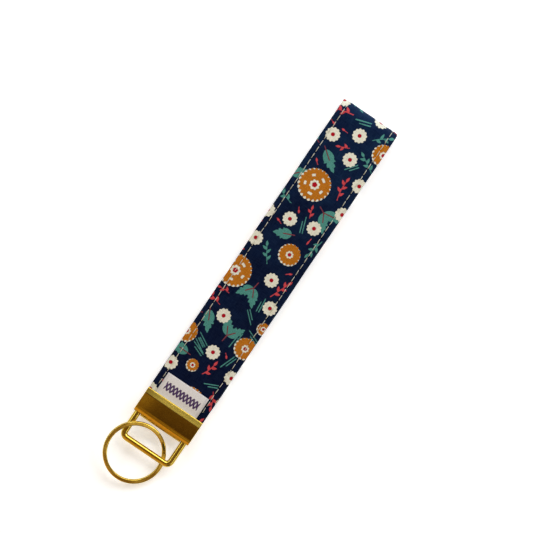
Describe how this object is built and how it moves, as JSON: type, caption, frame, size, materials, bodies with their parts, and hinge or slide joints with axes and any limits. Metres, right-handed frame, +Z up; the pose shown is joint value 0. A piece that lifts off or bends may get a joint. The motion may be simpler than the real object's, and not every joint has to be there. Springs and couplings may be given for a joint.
{
  "type": "wristlet keychain",
  "caption": "Flat looped wrist strap of printed cotton gripped in a crimped brass clamp, with a pivoting wire loop and a split key ring.",
  "frame": {"origin": "centre of the flat back face of the clamp, which lies on the table with the strap's lower layer", "axes": "+Y from the clamp along the strap to its fold, +Z up from the table, +X across the strap to the right"},
  "size_m": [0.0286, 0.176, 0.0094],
  "materials": {
    "clamp_brass": "polished antique-gold plating",
    "wire_brass": "bright gold plating",
    "ring_brass": "bright gold plating",
    "printed_cotton": "plain-woven cotton with a small floral print",
    "fleece": "dense bonded fleece",
    "thread": "spun polyester sewing thread",
    "satin_ribbon": "woven satin ribbon"
  },
  "bodies": {
    "clamp": {"clamp_body": "clamp_brass", "basting_thread": "thread"},
    "loop": {"wire_loop": "wire_brass"},
    "ring": {"split_ring": "ring_brass"},
    "strap": {"strap_cover": "printed_cotton", "strap_core": "fleece", "left_needle_thread": "thread", "right_needle_thread": "thread", "left_bobbin_thread": "thread", "right_bobbin_thread": "thread", "label": "satin_ribbon"}
  },
  "joints": [
    {"name": "loop_swing", "type": "hinge", "parent": "clamp", "child": "loop", "pos_m": [0, -0.00295, 0.0032], "axis": [1, 0, 0], "range_deg": [-11.5, 17.5]},
    {"name": "ring_swing", "type": "hinge", "parent": "loop", "child": "ring", "pos_m": [0, -0.01628, 0.00395], "axis": [1, 0, 0], "range_deg": [0, 120]},
    {"name": "strap_bend", "type": "hinge", "parent": "clamp", "child": "strap", "pos_m": [0, 0.00775, 0.0032], "axis": [1, 0, 0], "range_deg": [-60, 60], "stiffness_Nm_per_rad": 0.03, "deforming": ["strap_cover", "strap_core", "left_needle_thread", "right_needle_thread", "left_bobbin_thread", "right_bobbin_thread", "label"]}
  ]
}
